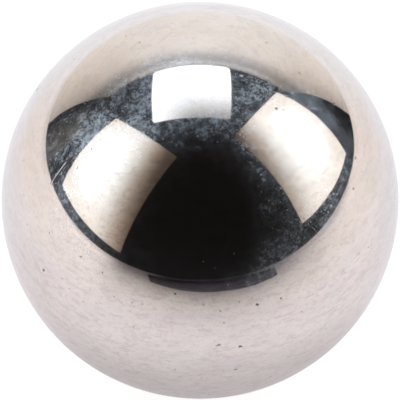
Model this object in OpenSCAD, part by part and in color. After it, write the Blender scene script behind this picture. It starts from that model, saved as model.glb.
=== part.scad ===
// Polished steel ball, ground and lapped from one solid blank.
// Millimetres, +Z up, with the origin at the centre of the ball.

/* [Ball] */
// Diameter of the ball
ball_d = 20; // [1:0.5:100]

/* [Preview] */
// Facets round the ball where it is drawn as a mesh
facets = 180; // [36:12:360]

/* [Hidden] */

// One true sphere, solid right through, with no bore, flat or seam
module ball() {
    color("silver")
        sphere(d = ball_d, $fn = facets);
}

ball();
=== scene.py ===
"""A polished steel ball, loose on a pale table in a plain softbox studio.

The ball is one piece. Its pits, nicks and scratches are cut into the mesh, and its
lapping lines, dust and haze are in the finish. Everything else here is the studio.
"""

import logging
import math
import random
from dataclasses import dataclass
from enum import Enum
from typing import Any, Callable, Sequence, Union

import bmesh
import bpy
from mathutils import Matrix, Quaternion, Vector
from mathutils.kdtree import KDTree


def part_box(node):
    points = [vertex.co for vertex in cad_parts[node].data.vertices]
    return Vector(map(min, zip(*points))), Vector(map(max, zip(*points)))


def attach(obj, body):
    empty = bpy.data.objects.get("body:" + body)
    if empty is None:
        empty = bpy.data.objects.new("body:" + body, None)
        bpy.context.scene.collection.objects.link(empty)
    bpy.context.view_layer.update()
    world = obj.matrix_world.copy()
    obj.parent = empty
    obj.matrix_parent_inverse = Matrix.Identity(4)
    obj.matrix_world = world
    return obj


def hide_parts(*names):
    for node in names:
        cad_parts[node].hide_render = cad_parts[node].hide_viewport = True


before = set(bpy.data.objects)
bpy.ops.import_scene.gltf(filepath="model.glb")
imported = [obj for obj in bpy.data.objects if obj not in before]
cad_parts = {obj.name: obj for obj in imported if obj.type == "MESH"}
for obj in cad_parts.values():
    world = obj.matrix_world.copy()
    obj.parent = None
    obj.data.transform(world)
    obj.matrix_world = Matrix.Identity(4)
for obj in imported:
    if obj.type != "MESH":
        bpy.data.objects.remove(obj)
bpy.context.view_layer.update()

LOG = logging.getLogger("steel_ball")
MM = 0.001

Colour = tuple[float, float, float]
Place = tuple[float, float, float]


def heading(azimuth: float, elevation: float) -> Vector:
    """Gives the unit vector that points to a place in the studio.

    Args:
        azimuth: Degrees round the ball, 0 towards the camera and 90 to its right.
        elevation: Degrees above the level of the ball's centre.

    Returns:
        The direction from the ball's centre.
    """
    turn, rise = math.radians(azimuth), math.radians(elevation)
    level = math.cos(rise)
    return Vector((math.sin(turn) * level, -math.cos(turn) * level, math.sin(rise)))


# ---------------------------------------------------------------- shader graphs


class Channel:
    """One output of a shader node, with arithmetic that adds Math nodes."""

    def __init__(self, graph: "Graph", socket: bpy.types.NodeSocket) -> None:
        """Wraps a node's output socket."""
        self.graph = graph
        self.socket = socket

    def _math(self, operation: str, *values: "Value") -> "Channel":
        """Adds one Math node and gives its result."""
        inputs = dict(enumerate(values))
        return self.graph.node("ShaderNodeMath", {"operation": operation}, inputs)[0]

    def __add__(self, other: "Value") -> "Channel":
        """Adds another value."""
        return self._math("ADD", self, other)

    def __radd__(self, other: "Value") -> "Channel":
        """Adds this channel to a number."""
        return self._math("ADD", other, self)

    def __sub__(self, other: "Value") -> "Channel":
        """Takes another value away."""
        return self._math("SUBTRACT", self, other)

    def __rsub__(self, other: "Value") -> "Channel":
        """Takes this channel from a number."""
        return self._math("SUBTRACT", other, self)

    def __mul__(self, other: "Value") -> "Channel":
        """Multiplies by another value."""
        return self._math("MULTIPLY", self, other)

    def __rmul__(self, other: "Value") -> "Channel":
        """Multiplies a number by this channel."""
        return self._math("MULTIPLY", other, self)

    def __truediv__(self, other: "Value") -> "Channel":
        """Divides by another value."""
        return self._math("DIVIDE", self, other)

    def __pow__(self, other: "Value") -> "Channel":
        """Raises to a power."""
        return self._math("POWER", self, other)

    def __abs__(self) -> "Channel":
        """Drops the sign."""
        return self._math("ABSOLUTE", self)

    def exp(self) -> "Channel":
        """Raises e to this channel."""
        return self._math("EXPONENT", self)

    def turn_from(self, ahead: "Value") -> "Channel":
        """Gives the angle in radians from ahead to the point that lies this far to its side."""
        return self._math("ARCTAN2", self, ahead)

    def above(self, other: "Value") -> "Channel":
        """Gives 1 where this channel is above the other value, and 0 elsewhere."""
        return self._math("GREATER_THAN", self, other)

    def most(self, other: "Value") -> "Channel":
        """Keeps the larger of the two."""
        return self._math("MAXIMUM", self, other)

    def least(self, other: "Value") -> "Channel":
        """Keeps the smaller of the two."""
        return self._math("MINIMUM", self, other)

    def ramp(self, start: float, end: float, low: float = 0.0, high: float = 1.0) -> "Channel":
        """Eases from one level to another as the channel goes from start to end.

        Args:
            start: The value at which the result leaves low.
            end: The value at which it reaches high. It may be below start.
            low: The level at and before start.
            high: The level at and past end.

        Returns:
            The eased channel.
        """
        if end < start:
            start, end, low, high = end, start, high, low
        inputs = {"Value": self, "From Min": start, "From Max": end, "To Min": low, "To Max": high}
        return self.graph.node("ShaderNodeMapRange", {"interpolation_type": "SMOOTHSTEP"}, inputs)[0]


Value = Union[float, Channel]


class Graph:
    """The node tree of one material."""

    MIX_SOCKETS = {"FLOAT": (2, 3, 0), "VECTOR": (4, 5, 1), "RGBA": (6, 7, 2)}

    def __init__(self, name: str) -> None:
        """Starts an empty material.

        Args:
            name: The material's name.
        """
        self.material = bpy.data.materials.new(name)
        self.material.use_nodes = True
        self.tree = self.material.node_tree
        self.tree.nodes.clear()

    def node(self, kind: str, settings: dict[str, Any], inputs: dict[Any, Any]) -> list[Channel]:
        """Adds one node.

        Args:
            kind: The node's type name.
            settings: Its own settings, which are set first.
            inputs: A value or a channel for each input socket, by name or number.

        Returns:
            Its outputs in order.
        """
        made = self.tree.nodes.new(kind)
        for name, setting in settings.items():
            setattr(made, name, setting)
        for key, value in inputs.items():
            if isinstance(value, Channel):
                self.tree.links.new(value.socket, made.inputs[key])
            elif isinstance(made.inputs[key].default_value, (int, float)):
                made.inputs[key].default_value = value
            else:
                size = len(made.inputs[key].default_value)
                made.inputs[key].default_value = (*value, 1.0)[:size]
        return [Channel(self, socket) for socket in made.outputs]

    def place(self) -> Channel:
        """Gives the point on the object in its own coordinates."""
        return self.node("ShaderNodeTexCoord", {}, {})[3]

    def mix(self, share: Value, first: Any, second: Any, kind: str = "RGBA") -> Channel:
        """Mixes two colours, vectors or numbers.

        Args:
            share: How much of the second there is, from 0 to 1.
            first: The value where share is 0.
            second: The value where share is 1.
            kind: RGBA, VECTOR or FLOAT.

        Returns:
            The mixture.
        """
        low, high, out = self.MIX_SOCKETS[kind]
        inputs = {0: share, low: first, high: second}
        return self.node("ShaderNodeMix", {"data_type": kind}, inputs)[out]

    def scaled(self, colour: Any, level: Value) -> Channel:
        """Brightens or darkens a colour by a level."""
        inputs = {0: colour, "Scale": level}
        return self.node("ShaderNodeVectorMath", {"operation": "SCALE"}, inputs)[0]

    def _vector(self, operation: str, *values: Any) -> list[Channel]:
        """Adds one Vector Math node and gives its outputs."""
        return self.node("ShaderNodeVectorMath", {"operation": operation}, dict(enumerate(values)))

    def tinted(self, colour: Any, tint: Any) -> Channel:
        """Multiplies one colour by another."""
        return self._vector("MULTIPLY", colour, tint)[0]

    def added(self, colour: Any, light: Any) -> Channel:
        """Adds one colour to another."""
        return self._vector("ADD", colour, light)[0]

    def stretched(self, place: Channel, scale: Sequence[float]) -> Channel:
        """Scales a point's coordinates, each by its own factor."""
        return self._vector("MULTIPLY", place, scale)[0]

    def outward(self, place: Channel) -> Channel:
        """Gives the direction of a point from the origin."""
        return self._vector("NORMALIZE", place)[0]

    def distance(self, place: Channel) -> Channel:
        """Gives how far a point is from the origin."""
        return self._vector("LENGTH", place)[1]

    def along(self, place: Channel, direction: Sequence[float]) -> Channel:
        """Gives how far a point lies along a direction."""
        return self._vector("DOT_PRODUCT", place, tuple(direction))[1]

    def attribute(self, name: str) -> Channel:
        """Reads one of the mesh's own values."""
        return self.node("ShaderNodeAttribute", {"attribute_name": name}, {})[2]

    def noise(self, place: Channel, pitch: float, detail: float = 2.0, rough: float = 0.5) -> Channel:
        """Gives smooth noise from 0 to 1 whose features are about pitch metres apart."""
        inputs = {"Vector": place, "Scale": 1.0 / pitch, "Detail": detail, "Roughness": rough}
        return self.node("ShaderNodeTexNoise", {}, inputs)[0]

    def finish(self, shader: Channel) -> bpy.types.Material:
        """Connects the last shader to the output, and gives the material."""
        self.node("ShaderNodeOutputMaterial", {}, {"Surface": shader})
        return self.material


# -------------------------------------------------------------------- finishes


@dataclass(frozen=True)
class Patch:
    """A round area of the ball with a soft edge.

    The azimuth and elevation of its middle are those of heading(). It is full as far as
    the turn full from its middle, and ends at the turn end. Both turns are in degrees.
    """

    azimuth: float
    elevation: float
    end: float
    full: float

    def share(self, graph: Graph, outward: Channel) -> Channel:
        """Gives 1 inside the area and 0 outside it.

        Args:
            graph: The material's graph.
            outward: The direction outwards from the ball's centre.

        Returns:
            The area's share, from 0 to 1.
        """
        end, full = math.cos(math.radians(self.end)), math.cos(math.radians(self.full))
        return graph.along(outward, heading(self.azimuth, self.elevation)).ramp(end, full)


@dataclass(frozen=True)
class Specks:
    """Scattered round specks of dust.

    The pitch is the distance between places where a speck may be, the size is a speck's
    radius as a share of the pitch, and the rarity is the share of places left empty.
    """

    pitch: float
    size: float
    rarity: float
    strength: float

    def share(self, graph: Graph, place: Channel) -> Channel:
        """Gives how much of the surface the specks cover.

        Args:
            graph: The material's graph.
            place: The point on the ball.

        Returns:
            The specks' strength at their middles, and 0 between them.
        """
        inputs = {"Vector": place, "Scale": 1.0 / self.pitch}
        distance, colour, _ = graph.node("ShaderNodeTexVoronoi", {}, inputs)[:3]
        chosen = graph.along(colour, (1, 0, 0)).above(self.rarity)
        return distance.ramp(self.size, self.size * 0.4) * chosen * self.strength


@dataclass(frozen=True)
class LappedSteel:
    """Bearing steel, lapped to a mirror and then handled.

    The mirror is mottled with lapping streaks, fibres and grit, which are stronger low on
    the front. It carries a blue-grey haze of fine dust and rubbing, which is thicker in
    some patches than in others. The pits' brown stain and the bright burrs follow the
    marks cut into the mesh, through its stain and burr attributes.
    """

    pale: Colour = (0.725, 0.702, 0.686)
    dull: Colour = (0.675, 0.652, 0.642)
    rosy: Colour = (0.598, 0.553, 0.550)
    haze_tint: Colour = (0.72, 0.85, 1.02)
    burr_tint: Colour = (0.80, 0.76, 0.77)
    stain_tint: Colour = (0.12, 0.085, 0.075)
    polish: float = 0.045
    stain_roughness: float = 0.5
    burr_roughness: float = 0.6
    haze_roughness: float = 0.46
    lift: float = 0.42
    drawn_out: Place = (1.0, 1.0, 3.0)
    streak_pitch: float = 2.2 * MM
    fibre_pitch: float = 0.80 * MM
    grit_pitch: float = 0.24 * MM
    cloud_pitch: float = 1.5 * MM
    grain_pitch: float = 0.30 * MM
    fine_specks: Specks = Specks(0.17 * MM, 0.33, 0.72, 0.30)
    large_specks: Specks = Specks(0.42 * MM, 0.15, 0.66, 0.50)
    worn: Patch = Patch(0.0, -12.0, 80.0, 45.0)
    wiped: Patch = Patch(-8.0, 38.0, 28.0, 16.0)
    rubbed: Patch = Patch(48.0, 50.0, 16.0, 10.0)
    dusty_above: Patch = Patch(-5.0, 66.0, 57.0, 43.0)
    dusty_below: Patch = Patch(-5.0, 40.0, 57.0, 43.0)
    thick: Patch = Patch(-35.0, 66.0, 25.0, 10.0)

    def material(self) -> bpy.types.Material:
        """Builds the ball's material.

        Returns:
            The material, which is a mirror mixed with a rough gloss where there is haze.
        """
        graph = Graph("lapped_steel")
        place = graph.place()
        outward = graph.outward(place)
        stain = graph.attribute("stain")
        burr = graph.attribute("burr")
        dust = self._dust(graph, place, outward)
        steel = graph.scaled(self._mottled(graph, place, outward), 1.0 + dust * self.lift)
        rough_stain = stain.ramp(0.0, 1.0, self.polish, self.stain_roughness)
        mirror = {
            "Base Color": graph.mix(stain, steel, self.stain_tint),
            "Metallic": 1.0,
            "Roughness": rough_stain.most(burr.ramp(0.0, 1.0, 0.0, self.burr_roughness)),
        }
        haze = {
            "Color": graph.mix(burr, graph.mix(stain, self.haze_tint, self.stain_tint), self.burr_tint),
            "Roughness": self.haze_roughness,
        }
        polished = graph.node("ShaderNodeBsdfPrincipled", {}, mirror)[0]
        hazy = graph.node("ShaderNodeBsdfAnisotropic", {"distribution": "BECKMANN"}, haze)[0]
        inputs = {0: dust.most(burr), 1: polished, 2: hazy}
        return graph.finish(graph.node("ShaderNodeMixShader", {}, inputs)[0])

    def _mottled(self, graph: Graph, place: Channel, outward: Channel) -> Channel:
        """Gives the steel's colour, which varies in faint streaks, fibres and grit.

        Args:
            graph: The material's graph.
            place: The point on the ball.
            outward: The direction outwards from the ball's centre.

        Returns:
            The mirror's colour.
        """
        worn = self.worn.share(graph, outward)
        drawn = graph.stretched(place, self.drawn_out)
        streaks = graph.noise(drawn, self.streak_pitch, 5.0, 0.7).ramp(0.35, 0.65)
        fibres = graph.noise(drawn, self.fibre_pitch, 5.0, 0.8).ramp(0.48, 0.64)
        grit = graph.noise(place, self.grit_pitch, 4.0, 0.8).ramp(0.50, 0.70)
        marked = fibres * (0.50 + 0.45 * worn) + grit * (0.38 + 0.50 * worn)
        return graph.mix(marked.least(1.0), graph.mix(streaks, self.dull, self.pale), self.rosy)

    def _dust(self, graph: Graph, place: Channel, outward: Channel) -> Channel:
        """Gives how much of the surface is haze and dust rather than mirror.

        Args:
            graph: The material's graph.
            place: The point on the ball.
            outward: The direction outwards from the ball's centre.

        Returns:
            The share of haze, from 0 to 1.
        """
        clouds = graph.noise(place, self.cloud_pitch, 4.0, 0.62).ramp(0.36, 0.64)
        grain = graph.noise(place, self.grain_pitch, 6.0, 0.85).ramp(0.38, 0.76)
        haze = 0.04 + 0.05 * clouds + 0.46 * grain * (0.35 + 0.65 * clouds)
        haze = haze.most(self.fine_specks.share(graph, place))
        haze = haze.most(self.large_specks.share(graph, place))
        clean = self.wiped.share(graph, outward).most(self.rubbed.share(graph, outward) * 0.55)
        dusty = self.dusty_above.share(graph, outward) * self.dusty_below.share(graph, outward)
        thick = 1.0 + 0.60 * self.thick.share(graph, outward)
        return haze * (1.0 - 0.85 * clean) * (0.34 + 0.66 * dusty) * thick


@dataclass(frozen=True)
class Paper:
    """Pale studio paper that glows a little, as a lit light table does."""

    name: str
    tint: Colour
    glow: float

    def material(self) -> bpy.types.Material:
        """Builds the paper's material.

        Returns:
            The material.
        """
        graph = Graph(self.name)
        inputs = {
            "Base Color": self.tint,
            "Roughness": 0.9,
            "Emission Color": self.tint,
            "Emission Strength": self.glow,
        }
        return graph.finish(graph.node("ShaderNodeBsdfPrincipled", {}, inputs)[0])


@dataclass(frozen=True)
class TablePaperPaintedShade:
    """The table's paper as the ball sees it, whose glow is painted light, with painted shade that darkens it
    towards the front.

    The casts are painted light tints, by how far it is from the ball and whether it is in front or behind.
    Bearings are in degrees round the ball, and distances in metres from its centre.
    """

    tint: Colour = (0.843, 0.813, 0.825)
    # painted light: the glow the paper gives, under its painted shade
    glow: Colour = (0.479, 0.455, 0.475)
    front_cast: Colour = (0.99, 0.98, 0.97)
    lilac_cast: Colour = (0.98, 1.04, 1.08)
    warm_cast: Colour = (1.0, 0.96, 0.90)
    cool_cast: Colour = (0.99, 1.04, 1.05)
    dim_start: float = 0.024
    dim_bearing: float = 0.12

    def material(self) -> bpy.types.Material:
        """Builds the paper's material.

        Returns:
            The material.
        """
        graph = Graph("table_paper_painted_shade")
        place = graph.place()
        front = graph.along(place, (0, -1, 0))
        away = graph.distance(place)
        ahead = front / away
        facing = ahead.ramp(-0.9, 0.3)
        bearing = graph.along(place, (1, 0, 0)).turn_from(front)
        # painted shade: the level and falloff are painted into the paper's colour and glow
        shade = self._painted_level(graph, away, ahead, facing) * self._painted_falloff(away, bearing)
        # painted light tints: lilac near the ball behind, warm or cool far off
        near_cast = graph.mix(facing, self.lilac_cast, self.front_cast)
        far_cast = graph.mix(ahead.ramp(-0.55, -0.95), self.warm_cast, self.cool_cast)
        cast = graph.mix(away.ramp(0.015, 0.070), near_cast, far_cast)
        inputs = {
            "Base Color": graph.tinted(graph.scaled(self.tint, shade), cast),
            "Roughness": 0.9,
            "Specular IOR Level": 0.0,
            "Emission Color": graph.tinted(graph.scaled(self.glow, shade), cast),
            "Emission Strength": 1.0,
        }
        return graph.finish(graph.node("ShaderNodeBsdfPrincipled", {}, inputs)[0])

    def _painted_level(self, graph: Graph, away: Channel, ahead: Channel, facing: Channel) -> Channel:
        """Gives the paper's painted level of light, with a painted soft shadow of the ball under it.

        Args:
            graph: The material's graph.
            away: The distance from the ball's centre.
            ahead: The cosine of the bearing, 1 straight in front.
            facing: 1 in front of the ball and 0 behind it.

        Returns:
            The level, about 1.
        """
        # painted contact shadow of the ball, in front of it
        contact_shadow = graph.mix(facing, 1.0, away.ramp(0.0, 0.021, 0.35, 1.0), "FLOAT")
        near = away.ramp(0.010, 0.045, 0.90, 1.0) * contact_shadow
        # painted light far off: brighter in front, darker to the sides and behind
        far = 1.0 + away.ramp(0.15, 0.60) * ahead.ramp(0.15, 0.60, -0.12, 0.25)
        return near * far * facing.ramp(0.0, 1.0, 1.06, 1.19)

    def _painted_falloff(self, away: Channel, bearing: Channel) -> Channel:
        """Gives the painted shade across the front, where the light is painted as falling off because the
        softboxes don't reach.

        Args:
            away: The distance from the ball's centre.
            bearing: The bearing from straight ahead, in radians.

        Returns:
            1 where the light is full, and less where it falls off.
        """
        # painted shade where the light falls off across the front
        right = bearing.ramp(math.radians(20), math.radians(90), 0.97, 0.0)
        left = bearing.ramp(math.radians(-58), math.radians(-37), 0.0, 0.84)
        left = left + bearing.ramp(math.radians(-35), math.radians(-15), 0.0, 0.16)
        length = abs(bearing - self.dim_bearing).ramp(0.0, 1.0, -0.055, -0.108)
        fade = ((away - self.dim_start).most(0.0) / length).exp()
        return 1.0 - right * left * (1.0 - fade)


@dataclass(frozen=True)
class Glow:
    """A cloth or card that only gives light, its brightness worked out over its face: a lamp on the
    softboxes, painted light elsewhere.
    """

    name: str
    colour: Callable[[Graph, Channel], Channel]

    def material(self) -> bpy.types.Material:
        """Builds a material that only gives light.

        Returns:
            The material.
        """
        graph = Graph(self.name)
        colour = self.colour(graph, graph.place())
        return graph.finish(graph.node("ShaderNodeEmission", {}, {"Color": colour})[0])


# ---------------------------------------------------------------------- studio


def new_object(name: str, mesh_of: bmesh.types.BMesh, material: bpy.types.Material) -> bpy.types.Object:
    """Turns a bmesh into an object with one material.

    Args:
        name: The object's name.
        mesh_of: The bmesh, which is freed.
        material: The material that all its faces take.

    Returns:
        The object, linked to the scene.
    """
    mesh = bpy.data.meshes.new(name)
    mesh_of.to_mesh(mesh)
    mesh_of.free()
    mesh.materials.append(material)
    made = bpy.data.objects.new(name, mesh)
    bpy.context.scene.collection.objects.link(made)
    return made


def round_corners(
    sheet: bmesh.types.BMesh, corners: Sequence[bmesh.types.BMVert], reach: float, steps: int
) -> None:
    """Rounds some corners of a flat sheet.

    Args:
        sheet: The sheet.
        corners: Its corners to round.
        reach: How far along the edges from a corner the rounding starts.
        steps: How many edges each rounded corner has.
    """
    bmesh.ops.bevel(
        sheet, geom=corners, offset=reach, offset_type="OFFSET", affect="VERTICES",
        segments=steps, profile=0.5, material=-1, clamp_overlap=True,
    )


class Edge(Enum):
    """The edge of a softbox that its light fades towards, in the box's own plane."""

    LEFT = (-1.0, 0.0)
    RIGHT = (1.0, 0.0)
    TOP = (0.0, 1.0)


@dataclass(frozen=True)
class Fade:
    """How a softbox's light fades towards one edge.

    The start, end and slant are shares of the box's width. The light is least at start,
    measured inwards from the edge, and full at end. The slant moves both along the edge.
    The strength goes from its first value to its second along the edge.
    """

    edge: Edge
    start: float
    end: float
    slant: float
    strength: tuple[float, float]
    dim_tint: Colour = (1.0, 0.81, 0.66)


@dataclass(frozen=True)
class Softbox:
    """One square softbox, which the ball reflects and the camera doesn't see.

    Facing is the azimuth and elevation that its front looks towards, and the roll turns
    it in its own plane. The rim and core are its cloth's colours at its edges and middle.
    """

    name: str
    centre: Place
    facing: tuple[float, float]
    roll: float
    width: float
    height: float
    fade: Fade
    rim: Colour = (1.29, 1.18, 1.05)
    core: Colour = (1.58, 1.57, 1.51)
    glare: float = 15.0
    corner: float = 0.004

    def build(self) -> None:
        """Makes the lit front of the box twice, once to light the table and once to be mirrored."""
        lamp = self._front(self.name + "_lamp", self._cloth)
        lamp.visible_glossy = False
        mirrored = self._front(self.name, self._hot_cloth)
        mirrored.visible_diffuse = False

    def _front(self, name: str, colour: Callable[[Graph, Channel], Channel]) -> bpy.types.Object:
        """Makes one sheet of the box's front, in place.

        Args:
            name: The sheet's name.
            colour: Gives its light from its material's graph and the point on it.

        Returns:
            The sheet's object.
        """
        sheet = bmesh.new()
        bmesh.ops.create_grid(sheet, x_segments=1, y_segments=1, size=0.5)
        bmesh.ops.scale(sheet, vec=(self.width, self.height, 1.0), verts=sheet.verts)
        round_corners(sheet, sheet.verts[:], self.corner, 5)
        made = new_object(name, sheet, Glow(name + "_cloth", colour).material())
        made.matrix_world = self._placement()
        made.visible_camera = False
        return made

    def _placement(self) -> Matrix:
        """Gives the turn and place of the box's front.

        Returns:
            The matrix that takes the flat sheet there, with its upper edge upwards.
        """
        front = heading(*self.facing)
        level = Vector((0, 0, 1)).cross(front)
        if level.length < 0.1:
            level = Vector((1, 0, 0))
        across = level.normalized()
        upward = front.cross(across)
        turned = Matrix((across, upward, front)).transposed()
        roll = Matrix.Rotation(math.radians(self.roll), 3, "Z")
        return Matrix.Translation(self.centre) @ (turned @ roll).to_4x4()

    def _across_and_up(self, graph: Graph, place: Channel) -> tuple[Channel, Channel]:
        """Gives a point's place on the cloth, each way from -0.5 to 0.5."""
        return graph.along(place, (1.0 / self.width, 0, 0)), graph.along(place, (0, 1.0 / self.height, 0))

    def _hot_cloth(self, graph: Graph, place: Channel) -> Channel:
        """Gives the cloth's light with the far brighter glare of the lamp behind it.

        Args:
            graph: The material's graph.
            place: The point on the cloth.

        Returns:
            The colour of the light.
        """
        u, v = self._across_and_up(graph, place)
        side = self.fade.edge.value
        facing = (side[0] / self.width, side[1] / self.height, 0)
        inward = 0.5 - graph.along(place, facing)
        spot = ((u * u + v * v) ** 0.5).ramp(0.36, 0.0) * inward.ramp(self.fade.end, self.fade.end + 0.2)
        glare = graph.scaled((1.0, 1.0, 1.0), spot * self.glare)
        return graph.added(self._cloth(graph, place), glare)

    def _cloth(self, graph: Graph, place: Channel) -> Channel:
        """Gives the cloth's light, warm at its rim and white in its middle.

        Args:
            graph: The material's graph.
            place: The point on the cloth.

        Returns:
            The colour of the light.
        """
        u, v = self._across_and_up(graph, place)
        cloth = graph.mix(((u * u + v * v) ** 0.5).ramp(0.60, 0.10), self.rim, self.core)
        side, fade = self.fade.edge.value, self.fade
        inward = 0.5 - (u * side[0] + v * side[1])
        along = u * abs(side[1]) + v * abs(side[0])
        strength = along.ramp(-0.5, 0.1, *fade.strength)
        lit = 1.0 - strength * (inward + along * fade.slant).ramp(fade.start, fade.end, 1.0, 0.0)
        dim = graph.mix(lit.ramp(0.0, 0.8), fade.dim_tint, (1.0, 1.0, 1.0))
        return graph.scaled(graph.tinted(cloth, dim), lit)


@dataclass
class Studio:
    """The table, the backdrop and the softboxes round the ball.

    Lengths are in metres, and bearings and rises in degrees round and above the ball.
    The outline of the dark sheet that paints the shade in front of the ball is a list of places on the table,
    from its near edge to its far one.
    """

    radius: float
    reach: float = 0.80
    border: float = 0.2
    curl: float = 2.6
    backdrop_distance: float = 0.60
    backdrop_sides: tuple[float, float] = (-0.873, 0.770)
    backdrop_height: float = 0.80
    card_bearing: float = -113.0
    card_distance: float = 0.75
    card_rise: tuple[float, float] = (2.5, 27.5)
    card_half_width: float = 0.105
    shade_mat_near: tuple = ((-0.064, -0.138), (-0.010, -0.107), (0.040, -0.091), (0.080, -0.098))
    shade_mat_far: tuple = ((0.470, -0.590), (0.050, -0.785), (-0.350, -0.680))
    shade_mat_corner: float = 0.008
    darkness: Colour = (0.0080, 0.0068, 0.0064)

    def build(self) -> None:
        """Makes every part of the studio."""
        self._table()
        self._backdrop()
        self._softboxes()
        self._grey_card()
        self._painted_shade_mat()
        self._room()
        self._darkness()

    def _table(self) -> None:
        """Makes the table, once as the camera sees it and once, with painted shade and light, as the ball
        does.
        """
        seen = self._sheet("table", Paper("table_white", (0.90, 0.90, 0.90), 0.80).material())
        seen.visible_glossy = False
        seen.visible_diffuse = False
        seen.visible_shadow = False
        # the ball's copy carries the painted shade and light of the table
        mirrored = self._sheet("table_paper_painted_shade", TablePaperPaintedShade().material())
        mirrored.visible_camera = False
        mirrored.visible_diffuse = False
        mirrored.visible_shadow = False

    def _sheet(self, name: str, material: bpy.types.Material) -> bpy.types.Object:
        """Makes one sheet of the table, whose edge curls up, and more so at both sides.

        Args:
            name: The sheet's name.
            material: Its material.

        Returns:
            The sheet's object.
        """
        sheet = bmesh.new()
        bmesh.ops.create_circle(sheet, cap_ends=True, segments=180, radius=self.reach)
        bmesh.ops.inset_region(
            sheet, faces=sheet.faces[:], thickness=self.border, use_boundary=True, use_even_offset=True
        )
        for vert in sheet.verts:
            rim = Vector(vert.co.xy)
            if rim.length > self.reach - 0.01:
                curl = self.curl * (rim.x / rim.length) ** 4
                vert.co.z = self.reach * math.tan(math.radians(curl)) + self.radius
        bmesh.ops.translate(sheet, vec=(0, 0, -self.radius), verts=sheet.verts)
        made = new_object(name, sheet, material)
        return made

    def _backdrop(self) -> None:
        """Makes the upright backdrop behind the ball."""
        left, right = self.backdrop_sides
        top = self.backdrop_height
        sheet = bmesh.new()
        bmesh.ops.create_grid(sheet, x_segments=1, y_segments=1, size=0.5)
        bmesh.ops.scale(sheet, vec=(right - left, top + self.radius, 1), verts=sheet.verts)
        bmesh.ops.rotate(sheet, matrix=Matrix.Rotation(math.pi / 2, 3, "X"), verts=sheet.verts)
        middle = ((left + right) / 2, self.backdrop_distance, (top - self.radius) / 2)
        bmesh.ops.translate(sheet, vec=middle, verts=sheet.verts)
        new_object("backdrop", sheet, Glow("backdrop_cloth", self._backdrop_colour).material())

    def _backdrop_colour(self, graph: Graph, place: Channel) -> Channel:
        """Gives the backdrop's painted light, with painted shade that falls off to its sides and in bands
        near its top, as under a rolled top.

        Args:
            graph: The material's graph.
            place: The point on the backdrop.

        Returns:
            The colour of the light.
        """
        warm, warmer, neutral = (1.15, 1.08, 1.02), (1.15, 1.01, 0.89), (1.12, 1.09, 1.07)
        across = graph.along(place, (1, 0, 0))
        x = abs(across - 0.03)
        z = graph.along(place, (0, 0, 1))
        # painted shade: the glow falls off to both sides
        sides = (x * x * (z * -1.3 - 0.72)).exp()
        # painted shade under the top, a painted light strip, a painted dark line, and dimmer at the right end
        painted_shade_under_roll = (z + x * 0.06).ramp(0.43, 0.68, 1.0, 0.51) + z.ramp(0.67, 0.73, 0.0, 0.17)
        painted_shade_under_roll = (painted_shade_under_roll - z.ramp(0.742, 0.770, 0.0, 0.21)) * across.ramp(0.50, 0.80, 0.97, 0.76)
        # the glow warms towards the sides and turns neutral near the top
        cloth = graph.mix(x.ramp(0.0, 0.65), warm, warmer)
        near_roll = z.ramp(0.50, 0.66) * x.ramp(0.45, 0.10)
        return graph.scaled(graph.mix(near_roll, cloth, neutral), sides * painted_shade_under_roll)

    def _softboxes(self) -> None:
        """Makes the three softboxes."""
        Softbox(
            name="softbox_left", centre=(-0.561, -0.122, 0.401), facing=(143, -28.3), roll=7.8,
            width=0.716, height=0.697, fade=Fade(Edge.LEFT, -0.02, 0.42, -0.15, (0.93, 0.93)),
        ).build()
        Softbox(
            name="softbox_right", centre=(0.554, 0.081, 0.420), facing=(-122.6, -29.9), roll=0.0,
            width=0.678, height=0.682, fade=Fade(Edge.RIGHT, -0.15, 0.35, -0.20, (1.0, 1.0)),
        ).build()
        Softbox(
            name="softbox_top", centre=(-0.055, 0.252, 0.648), facing=(0, -90), roll=0.0,
            width=0.473, height=0.465,
            fade=Fade(Edge.TOP, -0.25, 0.62, 0.0, (0.1, 1.0), (1.0, 0.957, 0.92)),
            rim=(1.91, 1.93, 1.96), core=(1.96, 1.97, 1.98), corner=0.022,
        ).build()

    def _grey_card(self) -> None:
        """Makes the grey card that stands at the left, between the softbox and the backdrop."""
        foot, head = (self.card_distance * math.tan(math.radians(rise)) for rise in self.card_rise)
        card = bmesh.new()
        bmesh.ops.create_grid(card, x_segments=1, y_segments=1, size=0.5)
        bmesh.ops.scale(card, vec=(self.card_half_width * 2, head - foot, 1), verts=card.verts)
        turn = Matrix.Rotation(math.radians(self.card_bearing), 3, "Z") @ Matrix.Rotation(math.pi / 2, 3, "X")
        bmesh.ops.rotate(card, matrix=turn, verts=card.verts)
        centre = heading(self.card_bearing, 0) * self.card_distance + Vector((0, 0, (foot + head) / 2))
        bmesh.ops.translate(card, vec=centre, verts=card.verts)
        made = new_object("grey_card", card, Glow("grey_card_face", self._card_face).material())
        made.visible_camera = False

    def _card_face(self, graph: Graph, place: Channel) -> Channel:
        """Gives the card's grey glow, which is painted light, with painted shade that dims it unevenly
        towards the backdrop.

        Args:
            graph: The material's graph.
            place: The point on the card.

        Returns:
            The colour of the light.
        """
        side = graph.along(place, heading(self.card_bearing + 90, 0))
        blots = graph.noise(place, 0.12, 3.0).ramp(0.35, 0.65, 0.70, 1.15)
        # painted shade towards the backdrop, times random blots
        return graph.scaled((0.120, 0.111, 0.098), side.ramp(-0.11, 0.09, 0.35, 1.0) * blots)

    def _painted_shade_mat(self) -> None:
        """Makes the dark sheet in front of the ball that stands in for the shade there, with rounded near
        corners.
        """
        mat = bmesh.new()
        verts = [mat.verts.new((x, y, self.radius * -0.99)) for x, y in self.shade_mat_near + self.shade_mat_far]
        mat.faces.new(verts)
        round_corners(mat, verts[:len(self.shade_mat_near)], self.shade_mat_corner, 6)
        bmesh.ops.recalc_face_normals(mat, faces=mat.faces)
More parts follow.
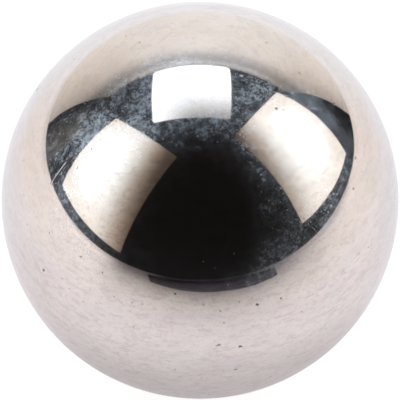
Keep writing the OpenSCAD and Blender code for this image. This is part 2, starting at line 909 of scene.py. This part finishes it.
        # a dark sheet put where there is only shade, glowing faintly with painted light
        made = new_object("painted_shade_mat", mat, Glow("painted_shade_mat_glow", self._painted_shade_glow).material())
        made.visible_camera = False
        made.visible_diffuse = False
        made.visible_shadow = False

    def _painted_shade_glow(self, graph: Graph, place: Channel) -> Channel:
        """Gives the dark sheet's faint glow, which is painted light, painted as dimmer further off.

        Args:
            graph: The material's graph.
            place: The point on the mat.

        Returns:
            The colour of the light.
        """
        away = graph.along(place, (0, -1, 0))
        drawn = graph.stretched(place, (0.3, 2.5, 1.0))
        streaks = graph.noise(drawn, 0.05, 4.0, 0.7).ramp(0.3, 0.7, 0.7, 1.3)
        # painted shade: the glow dims further off, with random streaks
        return graph.scaled((0.052, 0.044, 0.050), away.ramp(0.10, 0.34, 1.0, 0.25) * streaks)

    def _room(self) -> None:
        """Makes the pale wall of the room, which only the camera sees."""
        wall = bmesh.new()
        bmesh.ops.create_cone(wall, cap_ends=False, segments=96, radius1=1.0, radius2=1.0, depth=1.2)
        made = new_object("room_wall", wall, Paper("room_paint", (0.9, 0.9, 0.9), 1.0).material())
        made.visible_glossy = False
        made.visible_diffuse = False
        made.visible_shadow = False

    def _darkness(self) -> None:
        """Sets the unlit room beyond everything."""
        world = bpy.data.worlds.new("unlit_room")
        world.use_nodes = True
        world.node_tree.nodes["Background"].inputs["Color"].default_value = (*self.darkness, 1)
        bpy.context.scene.world = world


@dataclass
class Camera:
    """The camera, which looks down at the ball and fills its view with it."""

    radius: float
    elevation: float = 45.0
    lens: float = 200.0
    sensor: float = 36.0
    fill: float = 0.994

    def build(self) -> None:
        """Makes the camera and gives it to the scene, which shows its colours plainly."""
        half = math.atan(self.fill * self.sensor / 2 / self.lens)
        back = heading(0, self.elevation)
        data = bpy.data.cameras.new("camera")
        data.lens = self.lens
        data.sensor_width = self.sensor
        data.clip_start = 0.01
        data.clip_end = 10.0
        made = bpy.data.objects.new("camera", data)
        made.location = back * (self.radius / math.sin(half))
        made.rotation_euler = back.to_track_quat("Z", "Y").to_euler()
        bpy.context.scene.collection.objects.link(made)
        bpy.context.scene.camera = made
        bpy.context.scene.view_settings.view_transform = "Standard"


# ------------------------------------------------------------------------ ball


@dataclass(frozen=True)
class Pit:
    """A small hollow in the surface, as an oval.

    The azimuth and elevation are those of heading(). Lengths are in millimetres, the
    lean is the turn of the oval's long axis, and stain and burr run from 0 to 1.
    """

    azimuth: float
    elevation: float
    width: float
    depth: float
    stain: float
    burr: float = 0.0
    stretch: float = 1.3
    lean: float = 0.0


@dataclass(frozen=True)
class Scratch:
    """A straight groove from one place to another, in degrees and millimetres."""

    start: tuple[float, float]
    end: tuple[float, float]
    width: float
    depth: float
    burr: float


@dataclass
class PolishedBall:
    """The ball itself, a fine sphere with its pits and scratches pressed in.

    The finer zones are how far beyond a mark, in millimetres, its mesh is halved, once
    for each. The stain strength dims every pit's stain alike.
    """

    radius: float
    scattered: int = 280
    seed: int = 7
    divisions: int = 7
    finer_zones: tuple[float, float, float] = (0.15, 0.07, 0.02)
    stain_strength: float = 0.85
    lesser_widths: tuple[float, ...] = (0.06, 0.07, 0.08, 0.09, 0.10, 0.13)
    lesser_slope: float = 0.015
    scratch_step: float = 0.05

    PITS = (
        Pit(53.5, 76.0, 0.24, 0.006, 0.0, 0.30, 1.2, 20),
        Pit(57.5, 73.0, 0.12, 0.003, 0.0, 0.20, 1.8, 60),
        Pit(51.5, 63.0, 0.17, 0.011, 0.9),
        Pit(54.5, 61.5, 0.14, 0.006, 0.4, 0.0, 2.4, 80),
        Pit(49.0, 58.5, 0.16, 0.004, 0.2),
        Pit(51.5, 57.5, 0.14, 0.004, 0.2),
        Pit(-106.0, 33.0, 0.22, 0.010, 0.8, 0.0, 2.4, 35),
        Pit(-49.5, 9.5, 0.22, 0.010, 0.9),
        Pit(-42.0, 11.5, 0.12, 0.005, 0.6),
        Pit(-37.0, 21.5, 0.15, 0.007, 0.7, 0.0, 1.8, 60),
        Pit(-34.0, 8.0, 0.14, 0.005, 0.5),
        Pit(-29.0, 20.0, 0.13, 0.006, 0.7),
        Pit(-24.5, 14.0, 0.11, 0.005, 0.6),
        Pit(-7.0, 19.0, 0.13, 0.006, 0.8),
        Pit(-7.0, -10.0, 0.13, 0.005, 0.6),
        Pit(5.0, 1.5, 0.19, 0.008, 0.8, 0.0, 2.0, 70),
        Pit(6.5, 9.5, 0.13, 0.005, 0.6),
        Pit(10.0, -10.5, 0.17, 0.007, 0.8, 0.0, 1.8, 40),
        Pit(11.0, 0.0, 0.22, 0.010, 1.0, 0.0, 1.3, 30),
        Pit(16.0, 14.0, 0.19, 0.009, 1.0),
        Pit(23.0, 14.0, 0.14, 0.006, 0.9),
        Pit(29.0, 7.0, 0.11, 0.005, 0.6),
        Pit(21.5, -20.5, 0.14, 0.005, 0.6),
        Pit(51.5, 14.0, 0.13, 0.005, 0.6),
        Pit(58.5, 31.5, 0.15, 0.006, 0.7),
        Pit(111.5, 70.0, 0.12, 0.005, 0.5, 0.0, 2.0, 90),
        Pit(124.0, 64.0, 0.13, 0.005, 0.5),
        Pit(-120.5, 65.5, 0.13, 0.005, 0.5, 0.0, 2.0, 90),
        Pit(-51.0, 49.0, 0.15, 0.006, 0.5),
        Pit(-51.5, 42.5, 0.15, 0.006, 0.6),
        Pit(1.0, 28.5, 0.08, 0.002, 0.0, 0.5),
        Pit(4.5, 26.5, 0.07, 0.002, 0.0, 0.4),
        Pit(59.5, 37.0, 0.09, 0.002, 0.0, 0.25),
        Pit(56.5, 36.0, 0.11, 0.002, 0.0, 0.30, 1.6, 50),
        Pit(54.5, 35.0, 0.10, 0.002, 0.0, 0.30),
        Pit(51.0, 34.0, 0.12, 0.002, 0.0, 0.35, 1.8, 30),
        Pit(47.0, 32.5, 0.14, 0.003, 0.0, 0.45, 1.7, 40),
        Pit(45.0, 31.5, 0.12, 0.004, 0.7),
        Pit(35.5, 33.5, 0.10, 0.002, 0.0, 0.40),
        Pit(37.5, 32.0, 0.09, 0.0025, 0.0, 0.35),
        Pit(42.5, 33.0, 0.09, 0.0025, 0.0, 0.3),
    )
    SCRATCHES = (
        Scratch((-58.0, 33.0), (-57.0, 42.0), 0.055, 0.004, 0.5),
        Scratch((-58.5, 35.0), (-59.5, 38.0), 0.040, 0.002, 0.12),
        Scratch((-28.0, -6.0), (-20.5, -10.5), 0.045, 0.003, 0.15),
        Scratch((33.0, -4.0), (41.0, 1.5), 0.045, 0.003, 0.15),
        Scratch((150.0, 20.0), (163.0, 27.0), 0.060, 0.008, 0.6),
        Scratch((-140.0, -15.0), (-131.0, -24.0), 0.060, 0.008, 0.6),
    )

    def build(self) -> bpy.types.Object:
        """Makes the ball and puts it in the CAD ball's place.

        Returns:
            The ball's object.
        """
        ball = bmesh.new()
        bmesh.ops.create_icosphere(ball, subdivisions=self.divisions, radius=self.radius)
        pits = list(self.PITS) + self._scatter()
        spots = self._spots(pits)
        for reach in self.finer_zones:
            self._refine(ball, spots, reach * MM)
        bmesh.ops.triangulate(ball, faces=[face for face in ball.faces if len(face.verts) > 3])
        stain = ball.verts.layers.float.new("stain")
        burr = ball.verts.layers.float.new("burr")
        ball.verts.ensure_lookup_table()
        near = self._tree(ball)
        for pit in pits:
            self._press_pit(ball, near, pit, stain, burr)
        for scratch in self.SCRATCHES:
            self._press_scratch(ball, near, scratch, burr)
        for face in ball.faces:
            face.smooth = True
        made = new_object("polished_ball", ball, LappedSteel().material())
        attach(made, "root")
        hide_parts("ball")
        return made

    def _scatter(self) -> list[Pit]:
        """Picks the lesser pits all over the ball.

        Returns:
            The pits, which are the same on every run.
        """
        draw = random.Random(self.seed)
        pits = []
        for _ in range(self.scattered):
            azimuth = draw.uniform(-180, 180)
            elevation = math.degrees(math.asin(draw.uniform(-1, 1)))
            width = draw.choice(self.lesser_widths)
            pits.append(Pit(
                azimuth, elevation, width, width * self.lesser_slope, draw.uniform(0.25, 0.8), 0.0,
                draw.uniform(1.0, 2.2), draw.uniform(0, 180),
            ))
        return pits

    def _spots(self, pits: Sequence[Pit]) -> list[tuple[Vector, float]]:
        """Gives the places where the mesh must be finer.

        Args:
            pits: The ball's pits, of both kinds.

        Returns:
            The middle and half width of each place, in metres.
        """
        spots = []
        for pit in pits:
            centre = heading(pit.azimuth, pit.elevation) * self.radius
            spots.append((centre, pit.width * pit.stretch * 0.5 * MM))
        for scratch in self.SCRATCHES:
            start, end = heading(*scratch.start), heading(*scratch.end)
            steps = max(2, int(start.angle(end) * self.radius / (self.scratch_step * MM)))
            for step in range(steps + 1):
                place = start.lerp(end, step / steps).normalized() * self.radius
                spots.append((place, scratch.width * 0.5 * MM))
        return spots

    def _tree(self, ball: bmesh.types.BMesh) -> KDTree:
        """Indexes the ball's vertices by place.

        Args:
            ball: The ball's mesh.

        Returns:
            The tree of places, each with its vertex's number.
        """
        tree = KDTree(len(ball.verts))
        for index, vert in enumerate(ball.verts):
            tree.insert(vert.co, index)
        tree.balance()
        return tree

    def _refine(self, ball: bmesh.types.BMesh, spots: Sequence[tuple[Vector, float]], reach: float) -> None:
        """Halves the edges round every spot, and sets the new vertices on the sphere.

        Args:
            ball: The ball's mesh.
            spots: The middle and half width of each spot.
            reach: How far beyond the half width the edges are halved.
        """
        ball.verts.ensure_lookup_table()
        tree = self._tree(ball)
        chosen = set()
        for centre, half in spots:
            for _, index, _ in tree.find_range(centre, half + reach):
                chosen.add(index)
        edges = {edge for index in chosen for face in ball.verts[index].link_faces for edge in face.edges}
        ordered = sorted(edges, key=lambda edge: edge.index)
        cut = bmesh.ops.subdivide_edges(ball, edges=ordered, cuts=1, use_grid_fill=True)
        for part in cut["geom_inner"]:
            if isinstance(part, bmesh.types.BMVert):
                part.co = part.co.normalized() * self.radius
        corners = [face for face in ball.faces if len(face.verts) > 3]
        bmesh.ops.triangulate(ball, faces=corners)
        ball.edges.index_update()

    def _press_pit(self, ball: bmesh.types.BMesh, near: KDTree, pit: Pit, stain: Any, burr: Any) -> None:
        """Presses one pit into the surface and marks its stain and burr.

        Args:
            ball: The ball's mesh.
            near: Its vertices, indexed by place.
            pit: The pit to press.
            stain: The layer that holds the stain.
            burr: The layer that holds the bright burr.
        """
        centre = heading(pit.azimuth, pit.elevation)
        side = centre.orthogonal().normalized()
        side.rotate(Quaternion(centre, math.radians(pit.lean)))
        along = centre.cross(side)
        half = pit.width * 0.5 * MM
        wobble = pit.azimuth * 3.7
        for place, index, _ in near.find_range(centre * self.radius, half * pit.stretch * 1.3):
            u, v = place.dot(side) / half, place.dot(along) / (half * pit.stretch)
            turn = math.atan2(v, u)
            edge = 1.0 + 0.16 * math.sin(3 * turn + wobble) + 0.10 * math.sin(5 * turn - wobble)
            out = math.hypot(u, v) / edge
            if out >= 1.0:
                continue
            bowl = 0.5 + 0.5 * math.cos(math.pi * out)
            vert = ball.verts[index]
            vert.co -= vert.co.normalized() * (pit.depth * MM * bowl)
            fullness = min(1.0, bowl * 1.8)
            vert[stain] = max(vert[stain], pit.stain * self.stain_strength * fullness)
            vert[burr] = max(vert[burr], pit.burr * fullness)

    def _press_scratch(self, ball: bmesh.types.BMesh, near: KDTree, scratch: Scratch, burr: Any) -> None:
        """Presses one scratch into the surface and marks its bright burr.

        Args:
            ball: The ball's mesh.
            near: Its vertices, indexed by place.
            scratch: The scratch to press.
            burr: The layer that holds the bright burr.
        """
        start, end = heading(*scratch.start), heading(*scratch.end)
        middle = start.lerp(end, 0.5).normalized()
        across = start.cross(end).normalized()
        along = across.cross(middle)
        half_length = start.angle(end) * self.radius * 0.5
        half = scratch.width * 0.5 * MM
        for place, index, _ in near.find_range(middle * self.radius, half_length + half):
            end_share = abs(place.dot(along)) / half_length
            out = abs(place.dot(across)) / half
            if out >= 1.0 or end_share >= 1.0:
                continue
            taper = min(1.0, (1.0 - end_share) * 4.0)
            vert = ball.verts[index]
            vert.co -= vert.co.normalized() * (scratch.depth * MM * (1.0 - out) * taper)
            vert[burr] = max(vert[burr], scratch.burr * (1.0 - out * out) * taper)


def main() -> None:
    """Builds the studio, the camera and the ball, and notes their sizes."""
    logging.basicConfig(level=logging.INFO)
    low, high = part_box("ball")
    radius = (high.z - low.z) / 2
    Camera(radius).build()
    LOG.info("the camera looks at a ball of radius %.4f m", radius)
    Studio(radius).build()
    LOG.info("the studio is round it")
    ball = PolishedBall(radius).build()
    LOG.info("%s has %d faces", ball.name, len(ball.data.polygons))


if __name__ == "__main__":
    main()
